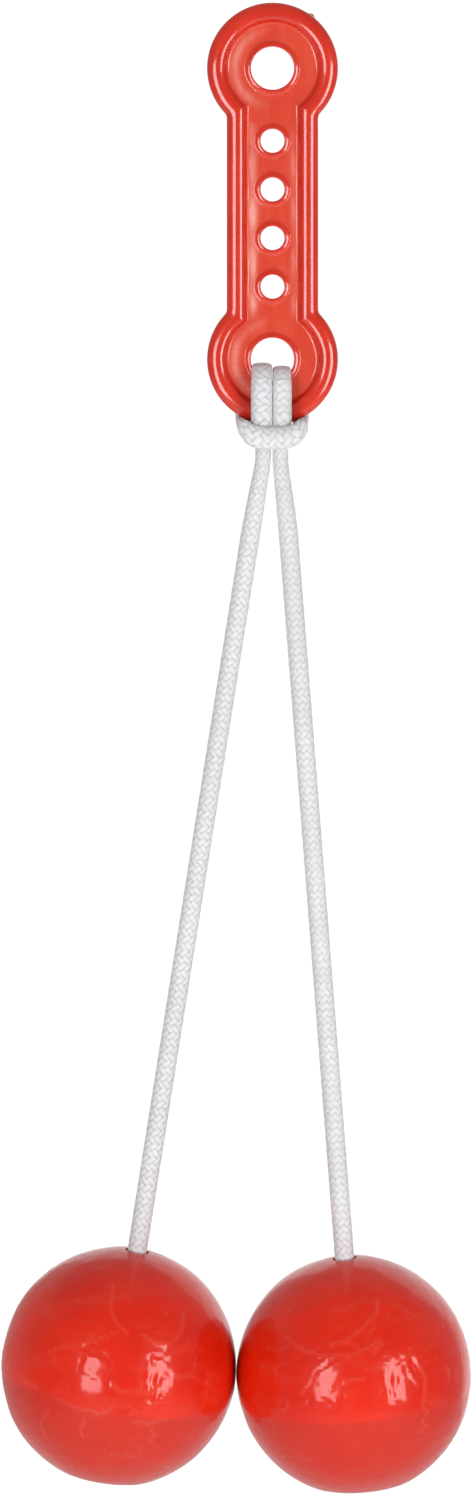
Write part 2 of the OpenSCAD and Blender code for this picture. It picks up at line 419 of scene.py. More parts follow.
route = averaged(through(cord_points, STEP), 3)
centres = route[:, :3]
radii = route[:, 3]
along = lengths_along(centres)
across, upward = carried_frames(centres)
print(f"the whole cord is {along[-1]:.1f} mm long, with {len(route)} rings")


# %% [markdown]
# ## The braid
# Eight yarns wind one way round the cord and eight wind the other way. Each passes over two and under
# two, which makes the small diamonds. On a tube opened flat those are two families of slanting stripes,
# so the height of the surface comes straight from which stripe a point is in and how far across it is.

# %% Carry the braid along the route
AROUND = 48
BRAID_DEPTH = 0.095
BRAID_FILL = 0.965
BAR_BACK = -6.24
BAR_REACH = 6.0
BAR_TALLER = 0.27
BAR_THINNER = 0.06


def braid(around, along_cord):
    """Crown height from 0 to 1 and which family is on top, from turns around the cord and mm along it."""
    right = around * YARNS + along_cord / YARN_PITCH
    left = around * YARNS - along_cord / YARN_PITCH
    place = (np.floor(right) - np.floor(left)) % 4
    right_part = right - np.floor(right)
    left_part = left - np.floor(left)
    right_on_top = place < 2
    width = np.where(right_on_top, right_part, left_part)
    run = np.where(right_on_top, (place + 1 - left_part) / 2, (place - 2 + right_part) / 2)
    rounded = np.sqrt(np.clip(1 - (2 * width - 1) ** 2, 0, 1))
    return rounded * (0.55 + 0.45 * np.sin(np.pi * np.clip(run, 0, 1))), right_on_top


def cord_surface():
    """Each ring: centre + radius x (cos(turn) x across + sin(turn) x upward), crowned by the braid."""
    turn = np.arange(AROUND) / AROUND
    height, on_top = braid(turn[None, :], along[:, None])
    ripple = radii[:, None] * BRAID_FILL + BRAID_DEPTH * (height - 0.5)
    offset = ripple[..., None] * (
        np.cos(2 * np.pi * turn)[None, :, None] * across[:, None, :]
        + np.sin(2 * np.pi * turn)[None, :, None] * upward[:, None, :]
    )
    offset[..., 2] *= 1 + BAR_TALLER * in_bar[:, None]
    offset[..., 1] *= 1 - BAR_THINNER * in_bar[:, None]
    return centres[:, None, :] + offset, height, on_top


bar_middle = along[np.argmin(np.abs(centres[:, 0]) + np.abs(centres[:, 1] - BAR_BACK))]
in_bar = np.exp(-(((along - bar_middle) / BAR_REACH) ** 4))
surface, crown_height, right_on_top = cord_surface()
print("the cord's surface has", surface.shape[0] * surface.shape[1], "points")


# %% [markdown]
# ## Pulling the hitch tight
# A real cord is soft. Where the hitch is pulled tight, its strands press each other flat and square, and
# the bar across them turns up at its ends. A round tube can't show that, so its points are moved
# afterwards. Each move has a weight for each ring, which is 1 where the cord is pressed, 0 away from it
# and smooth in between, so the braid follows it without a break.

# %% Helpers for weights and square sections
def ramp(values, start, end):
    """Smooth step: 0 before start, 1 after end, and t^2 x (3 - 2t) between them."""
    t = np.clip((values - start) / (end - start), 0, 1)
    return t * t * (3 - 2 * t)


def by_side(left_value, right_value):
    """One value for each ring, by the side of the toy that the ring is on."""
    return np.where(centres[:, 0] < 0, left_value, right_value)[:, None]


def squared(offset, half, power):
    """Half x |offset|^power with the offset's sign, which gives a round section square corners."""
    return half * np.sign(offset) * np.abs(offset) ** power


print("a ramp is 0 or 1 away from its middle:", ramp(np.array([-1.0, 0.5, 2.0]), 0, 1))

# %% Square the strands, turn up the bar and draw in the legs
STRAND_RADIUS = 1.66
BAR_FACE = -4.7
BAR_DROP = 12.5
BAR_HALF = 6.3
BAR_SHOULDER = 4.0
BAR_LIFT = 1.1
BAR_UNDERSIDE = -15.56


def settle_strands(surface):
    """Squares the two strands that pass through the eye, so that they fill it side by side, flat on top."""
    beyond = centres[:, 2] + EYE_DROP
    x_of_ring = np.abs(centres[:, 0])
    in_hole = ramp(beyond, -4.2, -2.6) * (1 - ramp(centres[:, 1], 1.6, 3.4)) * (x_of_ring < 3) * (beyond < 1)
    in_front = ramp(beyond, -13.5, -11.5) * (1 - ramp(centres[:, 1], 0, 2.5))
    in_front = in_front * (1 - ramp(x_of_ring, 2.4, 3.2))
    offset = (surface - centres[:, None, :]) / STRAND_RADIUS
    wide = by_side(-1.8, 1.6) + squared(offset[..., 0], by_side(1.92, 1.68), 0.72)
    surface[..., 0] += in_front[:, None] * (wide - surface[..., 0])
    flat = centres[:, 2, None] + by_side(-0.5, -0.85) + squared(offset[..., 2], by_side(1.05, 0.85), 0.62)
    surface[..., 2] += in_hole[:, None] * (flat - surface[..., 2])


def settle_bar(surface):
    """Turns the bar's ends up, as a smile: lifted by BAR_LIFT x (|x| / BAR_HALF)^2 and half its 4th power.

    The limit under it rises as the 4th power, and a soft maximum, s x log(1 + e^(d / s)), keeps it round.
    """
    weight = np.maximum(in_bar, ramp(np.abs(centres[:, 0]), 3.0, 4.4))[:, None]
    weight = weight * (np.abs(centres[:, 2] + EYE_DROP + BAR_DROP) < 4.5)[:, None]
    x = np.abs(surface[..., 0])
    narrower = np.where(x > BAR_SHOULDER, BAR_SHOULDER + (x - BAR_SHOULDER) * 0.93, x)
    surface[..., 0] += weight * (narrower * np.sign(surface[..., 0]) - surface[..., 0])
    rise = (np.minimum(np.abs(surface[..., 0]), 6.5) / BAR_HALF) ** 4
    beyond = surface[..., 2] + EYE_DROP
    lifted = beyond + (BAR_LIFT * np.sqrt(rise) + 0.5 * rise) * (1 - ramp(beyond, -11.0, -9.0))
    under = BAR_UNDERSIDE + 3.5 * rise
    rounded = under + 0.3 * np.logaddexp(0, (lifted - under) / 0.3)
    surface[..., 2] += weight * (rounded - beyond)


def settle_legs(surface):
    """Squeezes the two legs by a sixth where they leave the hitch, and brings them together."""
    z = centres[:, 2]
    weight = ramp(z, PIVOT_HEIGHT - 14, PIVOT_HEIGHT + 1) * (1 - ramp(z, -64.0, -60.0))
    weight = (weight * (centres[:, 1] > BAR_FACE))[:, None]
    surface -= 0.15 * weight[..., None] * (surface - centres[:, None, :])
    surface[..., 0] += weight * by_side(0.14, -0.4)


settle_strands(surface)
settle_bar(surface)
settle_legs(surface)
print("the bar reaches", np.abs(surface[in_bar > 0.5, :, 0]).max().round(2), "mm to either side")

# %% Press the strands together, and keep them off the handle
CONTACT = 0.03
RIM_CLEAR = 11.28
HOLE_CLEAR = 3.66
EYE_MIDWAY = 7.5
EDGE_DEPTH = 1.3
EDGE_ROUND = 0.9
EYE_DEPTH = 2.25


def press_strands(surface):
    """Stops each strand of the hitch at the middle plane, so the two are flat where they meet."""
    x = np.abs(centres[:, 0])
    beside = (x > 1.0) & (x < 3.4) & (centres[:, 1] > BAR_FACE) & (centres[:, 2] > PIVOT_HEIGHT - 12)
    facing = np.sign(centres[:, 0])[:, None]
    pressed = facing * np.maximum(surface[..., 0] * facing, CONTACT)
    surface[..., 0] = np.where(beside[:, None], pressed, surface[..., 0])
    print("strands pressed together over", int(beside.sum()), "rings")


def clear_of_handle(surface):
    """Moves points off the eye's own material: out past its rim, or in to its hole, whichever is nearer.

    The distance from the eye's centre becomes max(distance, rim) or min(distance, hole). Only points within
    the eye's thickness move, and less near its front and back, where its edges fall away.
    """
    x = surface[..., 0]
    up = surface[..., 2] + EYE_DROP
    reach = np.hypot(x, up)
    depth = np.abs(surface[..., 1])
    fallen = np.clip((depth - EDGE_DEPTH) / EDGE_ROUND, 0, 1)
    outwards = np.maximum(reach, RIM_CLEAR - 1.1 * fallen)
    inwards = np.minimum(reach, HOLE_CLEAR + 0.9 * fallen)
    wanted = np.where(depth < EYE_DEPTH, np.where(reach > EYE_MIDWAY, outwards, inwards), reach)
    surface[..., 0] = x * wanted / reach
    surface[..., 2] = up * wanted / reach - EYE_DROP
    moved = np.abs(wanted - reach)
    print("moved off the handle:", int(np.sum(moved > 0.001)), "points, by up to", moved.max().round(2), "mm")


press_strands(surface)
clear_of_handle(surface)


# %% [markdown]
# ## Cutting the cord into pieces
# The physics bends the cord at a few joints, so the braid is cut into stretches between them, and the
# cuts lie where nothing bends. The hitch and the end knots are attached to their bodies; nothing bends a
# stretch.

# %% Cut the stretches, and attach the hitch and the knots to their bodies
# Places on a leg, as distances below its pivot.
CUT_HITCH = -2.05
CUT_NECK = 5.0
CUT_LEG = 70.0
CUT_TAIL = 167.0
NECK_BEND = (-2.0, 3.4)
LEG_BEND = (6.0, 14.5)
TAIL_BEND = (132.2, 137.9)


def ring_at(side, down):
    """The ring nearest to a place on a leg, that far below its pivot."""
    target = on_leg(side, 0, 0, down)
    half = along < along[-1] / 2 if side == LEFT else along > along[-1] / 2
    return int(np.argmin(np.where(half, np.linalg.norm(centres - target, axis=1), 1e9)))


def cord_piece(name, start, end, replaced):
    """The stretch of braid between two rings, with flat end caps and a UV map that follows the cord."""
    start, end = sorted((start, end))
    rings = surface[start:end + 1]
    count = len(rings)
    faces = grid_faces(count, AROUND, columns_close=True)
    first_cap = range(AROUND - 1, -1, -1)
    last_cap = range((count - 1) * AROUND, count * AROUND)
    piece = make_piece(name, rings.reshape(-1, 3), faces, white_braid, (first_cap, last_cap))
    paint(piece, "crown", crown_height[start:end + 1])
    paint(piece, "right_hand", right_on_top[start:end + 1])
    turn = (np.arange(AROUND) / AROUND)[None, :].repeat(count - 1, 0).ravel()
    low = (along[start:end] / YARN_PITCH).repeat(AROUND)
    high = (along[start + 1:end + 1] / YARN_PITCH).repeat(AROUND)
    next_turn = turn + 1 / AROUND
    corners = np.stack([(turn, low), (next_turn, low), (next_turn, high), (turn, high)], axis=0)
    uv = np.zeros((len(piece.data.loops), 2), np.float32)
    uv[:len(faces) * 4] = corners.transpose(2, 0, 1).reshape(-1, 2)
    piece.data.uv_layers.new(name="cord").data.foreach_set("uv", uv.ravel())
    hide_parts(replaced)
    return piece


def bend_at(piece, body, next_body, side, start, end):
    """Bakes a stretch's place into its mesh; it bends nothing, and the bodies and places it is given are not
    used.
    """
    points = [tuple(on_leg(side, 0, 0, down) * MM) for down in (start, end)]
    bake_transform(piece)


hitch = cord_piece("cord_hitch_braid", ring_at(LEFT, CUT_HITCH), ring_at(RIGHT, CUT_HITCH), "cord_hitch")
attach(hitch, "hitch")
for side, word in SIDE_NAMES.items():
    cuts = [ring_at(side, down) for down in (CUT_HITCH, CUT_NECK, CUT_LEG, CUT_TAIL)]
    knot_end = 0 if side == LEFT else len(centres) - 1
    neck = cord_piece(f"{word}_neck_braid", cuts[0], cuts[1], f"{word}_neck")
    upper = cord_piece(f"{word}_upper_leg_braid", cuts[1], cuts[2], f"{word}_leg")
    lower = cord_piece(f"{word}_lower_leg_braid", cuts[2], cuts[3], f"{word}_tail")
    knot = cord_piece(f"{word}_end_knot", cuts[3], knot_end, f"{word}_knot")
    bend_at(neck, "hitch", f"{word}_neck", side, *NECK_BEND)
    bend_at(upper, f"{word}_neck", f"{word}_leg", side, *LEG_BEND)
    bend_at(lower, f"{word}_leg", f"{word}_tail", side, *TAIL_BEND)
    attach(knot, f"{word}_tail")


# %% [markdown]
# ## Moulded profiles
# The handle and the balls are injection mouldings, so none of their corners is quite sharp. Each section
# is drawn as straight lines with sharp corners, and then its points are averaged with their neighbours
# over a fraction of a millimetre, which rounds every corner alike, as a polished mould does.

# %% Helpers for bell curves and rounded sections
FINE_STEP = 0.02
CORNER_PULL = 40


def bell(t):
    """A bell curve: e^(-t^2)."""
    return np.exp(-(t**2))


def softened(corners, softness, count, closed=False):
    """The line through corners, rounded by a bell-curve average of that softness in mm.

    Its points lie closest together where it turns most.
    """
    corners = np.array(corners, float)
    if closed:
        corners = np.vstack([corners, corners[:1]])
    t = lengths_along(corners)
    at = np.linspace(0, t[-1], int(t[-1] / FINE_STEP) + 1)
    line = np.column_stack([np.interp(at, t, column) for column in corners.T])
    if closed:
        reach = int(6 * softness / FINE_STEP)
        line = np.vstack([line[-reach - 1:-1], line, line[1:reach + 1]])
        line = averaged(line, softness / FINE_STEP)[reach:-reach]
    else:
        line = averaged(line, softness / FINE_STEP)
    direction = np.gradient(line, axis=0)
    direction /= np.linalg.norm(direction, axis=1, keepdims=True)
    turning = np.linalg.norm(np.gradient(direction, axis=0), axis=1)
    weight = np.append(0, np.cumsum(1 + CORNER_PULL * (turning[1:] + turning[:-1]) / 2))
    places = np.linspace(0, weight[-1], count + 1 if closed else count)
    rounded = np.column_stack([np.interp(places, weight, column) for column in line.T])
    return rounded[:-1] if closed else rounded


WEB_EDGE = 3.8
WEB_FOOT = 1.02
RIM_SECTION = [
    (WEB_EDGE, WEB_FOOT), (3.6, 1.06), (3.4, 1.2), (3.22, 1.42), (3.0, 1.7), (2.8, 1.9), (2.55, 2.04),
    (2.2, 2.148), (1.95, 2.19), (1.77, 2.2), (1.55, 2.189), (1.33, 2.147), (0.93, 2.026), (0.7, 1.91),
    (0.48, 1.76), (0.28, 1.57), (0.1, 1.34), (0, 1.1), (0, 0),
]
rim_half = softened(RIM_SECTION, 0.05, 39)
rim_half[0] = (WEB_EDGE, WEB_FOOT)
rim_half[-1, 1] = 0
rim_inset = np.append(rim_half[:, 0], rim_half[-2::-1, 0])
rim_depth = np.append(-rim_half[:, 1], rim_half[-2::-1, 1])
print("rim section:", len(rim_inset), "points from the front web round the edge to the back web")

# %% [markdown]
# ## Outline of the handle
# The handle is a flat dog bone: an eye at each end and a shaft between. A raised rib follows the whole
# edge, with a hollow web inside it. The section above is carried round this outline, and each of its
# points has its own line, that far in from the edge. Every line has an arc, a small fillet and a straight.

# %% The rim: the section carried round the outline
EYE_RADIUS = 11.25
SHAFT_HALF = 7.85
SMALL_PITCH = 8.35
ARC_STEPS = 100
FILLET_STEPS = 12
END_STEPS = 6
CELL_STEPS = 24
WEB_FILLET = 0.25


def quarter_outline(inset):
    """A quarter of the outline for each inset: round the eye, round the fillet and down the shaft."""
    radius = EYE_RADIUS - inset
    half = SHAFT_HALF - inset
    fillet = np.interp(inset, [0, 0.9, 2.1, WEB_EDGE], [1.5, 2.2, 0.5, WEB_FILLET])
    centre_x = half + fillet
    centre_z = -np.sqrt((radius + fillet) ** 2 - centre_x**2)
    meets = np.arctan2(centre_z, centre_x)
    arc = np.pi / 2 + np.linspace(0, 1, ARC_STEPS + 1)[:, None] * (meets - np.pi / 2)
    eye = np.stack([radius * np.cos(arc), radius * np.sin(arc)], -1)
    turn = np.pi + meets * (1 - np.linspace(0, 1, FILLET_STEPS + 1)[1:, None])
    corner = np.stack([centre_x + fillet * np.cos(turn), centre_z + fillet * np.sin(turn)], -1)
    short = (EYE_DROP / 2 - 2 * SMALL_PITCH + centre_z_at_web) / (EYE_DROP / 2 + centre_z_at_web)
    cells = short + (1 - short) * np.arange(1, 2 * CELL_STEPS + 1) / (2 * CELL_STEPS)
    share = np.append(short * np.arange(1, END_STEPS + 1) / END_STEPS, cells)[:, None]
    down = centre_z + share * (-EYE_DROP / 2 - centre_z)
    shaft = np.stack([np.broadcast_to(half, down.shape), down], -1)
    return np.concatenate([eye, corner, shaft])


centre_z_at_web = -math.sqrt(
    (EYE_RADIUS - WEB_EDGE + WEB_FILLET) ** 2 - (SHAFT_HALF - WEB_EDGE + WEB_FILLET) ** 2
)
quarter = quarter_outline(rim_inset[None, :])
lower = quarter[::-1][1:] * [1, -1] + [0, -EYE_DROP]
right_side = np.concatenate([quarter, lower])
left_side = (right_side * [-1, 1])[::-1][1:-1]
rim = np.concatenate([right_side, left_side])
depth = np.broadcast_to(rim_depth, rim.shape[:2])
rim_points = np.stack([rim[..., 0], depth, rim[..., 1]], -1)
rim_grid = (rim_points.reshape(-1, 3), grid_faces(len(rim), len(rim_inset), rows_close=True))
web_line = rim_points[:, 0, [0, 2]]
edge_length = 4 * lengths_along(quarter[:, len(rim_half) - 1])[-1]
print("outline of", len(rim), "steps,", round(edge_length, 1), "mm round")

# %% [markdown]
# ## Holes in the handle
# Each hole has a raised lip. One cell of web surrounds each hole: its inner line is the hole's circle and
# its outer line is the foot of the rim and the middle line to the next hole. A cell is a grid whose
# points slide from the circle out to that line, from the front face through the hole to the back.

# %% One cell of web round each hole
LIP_REACH = 1.05
EYE_HOLE_RADIUS = 3.7
SMALL_HOLE_RADIUS = 2.05
WEB_BELL = 0.55
SMALL_HOLES = -EYE_DROP / 2 + (1.5 - np.arange(4)) * SMALL_PITCH
LIP_SECTION = [
    (LIP_REACH, 1.0), (0.97, 1.04), (0.87, 1.14), (0.72, 1.23), (0.5, 1.312), (0.3, 1.378), (0.2, 1.395),
    (0.1, 1.36), (0, 1.2), (0, 0),
]


def web_level(flat):
    """Half the web's thickness: 1 mm, plus a bell curve of the distance in from the foot of the rim."""
    across, up = flat[..., 0], flat[..., 1]
    eyes = EYE_RADIUS - WEB_EDGE - np.minimum(np.hypot(across, up), np.hypot(across, up + EYE_DROP))
    shaft = np.where((up < 0) & (up > -EYE_DROP), SHAFT_HALF - WEB_EDGE - np.abs(across), -1)
    inward = np.maximum(np.maximum(eyes, shaft), 0)
    return 1 + (WEB_FOOT - 1) * bell(inward / WEB_BELL)


def hole_cell(centre_z, hole_radius, outer, across_steps):
    """A grid from the outer line, over the lip, through the hole and back out on the other side.

    Each ring of the lip is a circle of the hole's radius plus the section's distance from the hole.
    """
    lip = softened(LIP_SECTION, 0.06, 17)
    lip[0] = (LIP_REACH, 1.0)
    lip[-1, 1] = 0
    middle = np.array([0, centre_z])
    angle = np.arctan2(outer[:, 1] - centre_z, outer[:, 0])
    ray = np.stack([np.cos(angle), np.sin(angle)], -1)
    foot = middle + ray * (hole_radius + LIP_REACH)
    share = np.linspace(0, 1, across_steps + 1)[:-1, None, None]
    flat = outer + share * (foot - outer)
    ring = middle + ray * (hole_radius + lip[:, 0, None, None])
    near = np.concatenate([flat, ring])
    level = np.concatenate([web_level(flat), np.broadcast_to(lip[:, 1, None], ring.shape[:2])])
    both = np.concatenate([near, near[-2::-1]])
    back = np.concatenate([-level, level[-2::-1]])
    points = np.stack([both[..., 0], back, both[..., 1]], -1)
    return points.reshape(-1, 3), grid_faces(len(both), len(outer), columns_close=True)


corner = ARC_STEPS + FILLET_STEPS
stops = [corner + END_STEPS + k * CELL_STEPS for k in range(5)]


def midline(step):
    """The line across the web from its left edge to its right edge, without its end points."""
    right = web_line[step]
    share = np.linspace(0, 1, CELL_STEPS + 1)[1:-1, None]
    return right * [-1, 1] + share * (right * [1, 1] - right * [-1, 1])


def eye_outer():
    """The outer line of the upper eye's cell: up the right, over the top, down the left and back across."""
    left = web_line[:stops[0] + 1] * [-1, 1]
    return np.concatenate([web_line[stops[0]:0:-1], left, midline(stops[0])])


def small_outer(top, bottom):
    """The outer line of a small hole's cell: up the right edge, across, down the left edge and back."""
    edge = web_line[bottom:top - 1:-1]
    left = (edge * [-1, 1])[::-1]
    return np.concatenate([edge, midline(top)[::-1], left, midline(bottom)])


upper_eye = eye_outer()
lower_eye = upper_eye * [1, -1] + [0, -EYE_DROP]
cells = [hole_cell(0, EYE_HOLE_RADIUS, upper_eye, 11), hole_cell(-EYE_DROP, EYE_HOLE_RADIUS, lower_eye, 11)]
for hole_z, top, bottom in zip(SMALL_HOLES, stops[:-1], stops[1:]):
    cells.append(hole_cell(hole_z, SMALL_HOLE_RADIUS, small_outer(top, bottom), 8))
handle_points, handle_faces, _ = weld([rim_grid, *cells])
print("handle grid:", len(handle_points), "points")


# %% [markdown]
# ## Marks of moulding
# Molten plastic leaves faint lines where it flowed and met. They are low ridges that show only where a
# highlight crosses them. Each is a short chain of points, and the surface rises beside it by a bell curve
# of the distance to the chain. Broad, slow waves do the rest, so that reflections are never perfect.

# %% Helpers for marks and waves
def distance_to(points, chain):
    """The shortest distance from each point to a chain of straight pieces."""
    nearest = np.full(len(points), 1e9)
    for start, end in zip(chain[:-1], chain[1:]):
        span = end - start
        share = np.clip((points - start) @ span / (span @ span), 0, 1)
        nearest = np.minimum(nearest, np.linalg.norm(points - start - share[:, None] * span, axis=1))
    return nearest


def waves(points, size, seed, count=24):
    """Slow waves, mostly within 1 of 0: cosines in random directions, about size mm from crest to crest."""
    draw = np.random.default_rng(seed)
    direction = draw.normal(size=(count, 3))
    direction *= 2 * np.pi / size / np.linalg.norm(direction, axis=1, keepdims=True)
    direction *= draw.uniform(0.7, 1.3, (count, 1))
    phase = draw.uniform(0, 2 * np.pi, count)
    return np.cos(points @ direction.T + phase).sum(axis=1) / math.sqrt(count)


print("marks are bells of distance; waves are sums of cosines")

# %% [markdown]
# ## Finish of the handle
# The handle is glossy plastic of a slightly orange red. Its thin web looks paler and milky, and faint
# streaks run through the colour. The streaks are noise that is stretched along the handle. Pale patches
# beside the shaft's edges and left of each eye's hole are painted highlights on the web.

# %% Glossy red plastic with a milky web
def handle_finish():
    """Orange red: a milky web by the painted mask, painted highlights, streaks by stretched noise, fine
    scuffs in the gloss.
    """
    gloss = {"IOR": 1.5, "Specular IOR Level": 0.3, "Coat Weight": 0.9, "Coat Roughness": 0.08}
    finish = Finish("red_handle_plastic", gloss)
    web = finish.painted("web")
    weld_line = finish.painted("weld")
    cloud = finish.noise(6, 3)
    streak = finish.noise(2.2, 4, stretch=(1, 1, 0.3))
    scuff = finish.noise(0.5, 3)
    red = finish.mix(finish.between(cloud, 0.3, 0.7), (0.60, 0.018, 0.003), (0.68, 0.026, 0.006))
    milky = finish.mix(finish.between(streak, 0.3, 0.75), (0.66, 0.044, 0.014), (0.72, 0.070, 0.032))
    # Painted highlight: pale pink patches mixed into the web's colour where the gloss would shine.
    pale = finish.painted("painted_highlight") * finish.between(streak, 0.35, 0.6, 0.5, 1.0)
    with_painted_highlight = finish.mix(pale, milky, (0.95, 0.50, 0.42))
    colour = finish.mix(web * 0.9, red, with_painted_highlight)
    lined = finish.mix(weld_line * 0.3, colour, (0.75, 0.16, 0.10))
    roughness = 0.2 + finish.between(scuff, 0.4, 0.8) * 0.08 + web * 0.06
    return finish.show(lined, roughness, finish.bump(cloud * 0.8 + streak * 0.2, 0.12, 0.35))


def painted_highlight(x, z):
    """Painted highlights, soft and pale, on the shaft's web: bells across at its two edges, fading by each
    small hole.
    """
    from_hole = np.min(np.abs(z[:, None] - SMALL_HOLES), axis=1)
    between_holes = 0.35 + 0.65 * np.clip((from_hole - 1.2) / 2.2, 0, 1)
    left_band = bell((x + 3.45) / 0.7) * 0.9
    right_band = bell((x - 3.6) / 0.45) * 0.35
    on_shaft = np.clip((-z - 9.0) / 3, 0, 1) * np.clip((z + 43.5) / 3, 0, 1)
    from_eye = np.minimum(np.hypot(x, z), np.hypot(x, z + EYE_DROP))
    leftward = np.clip(-x / 6, 0, 1)
    round_eyes = bell((from_eye - 6.5) / 0.7) * 0.4 * leftward * (1 - on_shaft)
    return (left_band + right_band) * between_holes * on_shaft + round_eyes


def make_handle():
    """Shapes the web's faint waves and lines, paints its masks and makes the piece."""
    x, y, z = handle_points.T
    flat = np.abs(y) < 1.05
    web = flat & (np.abs(y) > 0.97)
    eye_distance = np.minimum(np.hypot(x, z), np.hypot(x, z + EYE_DROP))
    level = np.interp(np.abs(y), [0.9, 1.0, 1.06, 1.3], [0, 1, 1, 0])
    inside = (eye_distance < EYE_RADIUS - WEB_EDGE + 0.5) | (np.abs(x) < SHAFT_HALF - WEB_EDGE + 0.5)
    lines = [
        [(-2.6, -1.0, -3.4), (-3.4, -1.0, -5.0), (-4.0, -1.0, -6.6)],
        [(-2.5, -1.0, -14.4), (-3.3, -1.0, -16.0), (-3.7, -1.0, -18.4)],
        [(-2.5, -1.0, -22.7), (-3.3, -1.0, -24.3), (-3.7, -1.0, -26.7)],
        [(-2.5, -1.0, -31.1), (-3.3, -1.0, -32.7), (-3.7, -1.0, -35.1)],
    ]
    weld_height = np.zeros(len(handle_points))
    for line in lines:
        near = distance_to(handle_points, np.array(line, float))
        weld_height = np.maximum(weld_height, bell(near / 0.22))
    nearest = SMALL_HOLES[np.argmin(np.abs(z[:, None] - SMALL_HOLES), axis=1)]
    from_hole = np.hypot(x, z - nearest)
    arcs = np.cos(2 * np.pi * (from_hole - 3.3) / 0.8) * bell((from_hole - 3.8) / 0.6)
    arcs = arcs * ramp(nearest - z, 1.0, 2.5) * (np.abs(x) < 3.6)
    swell = 0.035 * waves(handle_points, 7.0, 11) * web + 0.03 * weld_height * web + 0.022 * arcs * web
    # The gate, where the plastic flowed in, left a small bump that stands 0.45 mm out from the rim.
    gate = 0.45 * np.exp(-(((x - 6.7) ** 2 + (z - 9.0) ** 2) / 0.5 + (y / 0.5) ** 2))
    moved = handle_points.copy()
    moved[:, 1] += np.sign(y) * swell
    moved[:, 0] += gate * 0.6
    moved[:, 2] += gate * 0.8
    piece = make_piece("handle_moulding", moved, handle_faces, handle_finish(), normals_checked=True)
    paint(piece, "web", level * inside)
    paint(piece, "weld", weld_height * web)
    # The painted highlight mask, only on the flat web.
    paint(piece, "painted_highlight", painted_highlight(x, z) * flat)
    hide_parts("handle")
    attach(piece, "handle")


make_handle()

# %% [markdown]
# ## Shape of the balls
# A ball is a 40 mm sphere with a flat base, a bore for the cord and a recess that hides the knot. Its
# section is one closed line, from the bore out over the sphere, under the base, up the recess and back,
# so turning it round the cord's line gives a closed surface with no poles at all.

# %% The section of a ball, turned round its bore
BALL_RADIUS = 20.0
BALL_SWELL = 0.13
BORE_RADIUS = 2.0
BASE_RADIUS = 7.8
RECESS_RADIUS = 4.98
BASE_HEIGHT = -math.sqrt(BALL_RADIUS**2 - BASE_RADIUS**2)
RECESS_DEPTH = 9.0
RECESS_TOP = BASE_HEIGHT + RECESS_DEPTH
BORE_START = 5.0
TURNS = 500
SECTION_COUNT = 190
BALL_SOFTNESS = 0.16


def ball_grid():
    """Radius and height from the section, turned round the upright axis: (r cos(t), r sin(t), height)."""
    mouth = math.asin(BORE_RADIUS / BALL_RADIUS)
    rim = math.pi - math.asin(BASE_RADIUS / BALL_RADIUS)
    angle = np.linspace(mouth, rim, 120)
    outside = np.stack([BALL_RADIUS * np.sin(angle), BALL_RADIUS * np.cos(angle)], -1)
    inside = [(RECESS_RADIUS, BASE_HEIGHT), (RECESS_RADIUS, RECESS_TOP), (BORE_RADIUS, RECESS_TOP)]
    start = [(BORE_RADIUS, BORE_START)]
    section = softened([*start, *outside, *inside], BALL_SOFTNESS, SECTION_COUNT, closed=True)
    turn = np.arange(TURNS) * 2 * np.pi / TURNS
    x = section[:, 0, None] * np.cos(turn)
    y = section[:, 0, None] * np.sin(turn)
    z = np.broadcast_to(section[:, 1, None], x.shape)
    faces = grid_faces(SECTION_COUNT, TURNS, rows_close=True, columns_close=True)
    return np.stack([x, y, z], -1).reshape(-1, 3), faces


ball_points, ball_faces = ball_grid()
print("ball grid:", len(ball_points), "points, base at", round(BASE_HEIGHT, 2), "mm")

# %% [markdown]
# ## Marks on the balls
# The balls are full of moulding marks: a step where the halves of the mould met, arcs and creases above
# it, ripples across the middle and small blisters. Each chain below is drawn on the front of a ball as
# across and up, and laid on the sphere. The back carries the other ball's chains, so no side is bare.
# The finest flow lines are too many to draw one by one, so seeded random arcs stand for them.

